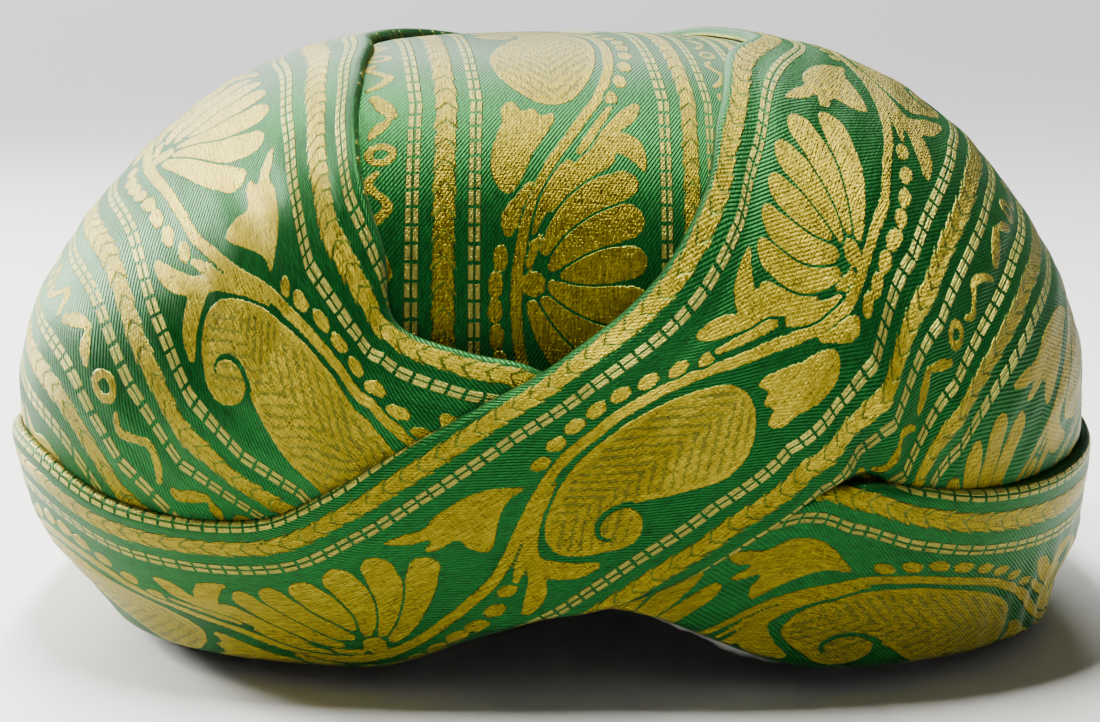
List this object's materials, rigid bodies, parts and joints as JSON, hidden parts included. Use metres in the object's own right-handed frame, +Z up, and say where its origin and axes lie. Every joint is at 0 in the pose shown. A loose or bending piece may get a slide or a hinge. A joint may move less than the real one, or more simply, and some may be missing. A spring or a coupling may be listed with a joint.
{
  "type": "tied turban pagri",
  "caption": "Ready-tied turban of green and gold brocade, wound in crossing wraps over a stiff lined cap, hollow and open below, with an arched front rim.",
  "frame": {"origin": "centre of the overall box, on the plane of the rim that the turban rests on", "axes": "+Z up to the crown, -Y to the front where the wraps cross, +X to the right as seen from the front"},
  "size_m": [0.2241, 0.2174, 0.1196],
  "materials": {
    "brocade": "emerald green satin with gold zari brocade",
    "lining": "white cotton lining over stiffened buckram"
  },
  "bodies": {
    "root": {"inner_cap": "lining", "crown_wrap": "brocade", "left_wrap": "brocade", "front_sweep": "brocade", "low_band": "brocade"}
  },
  "joints": []
}
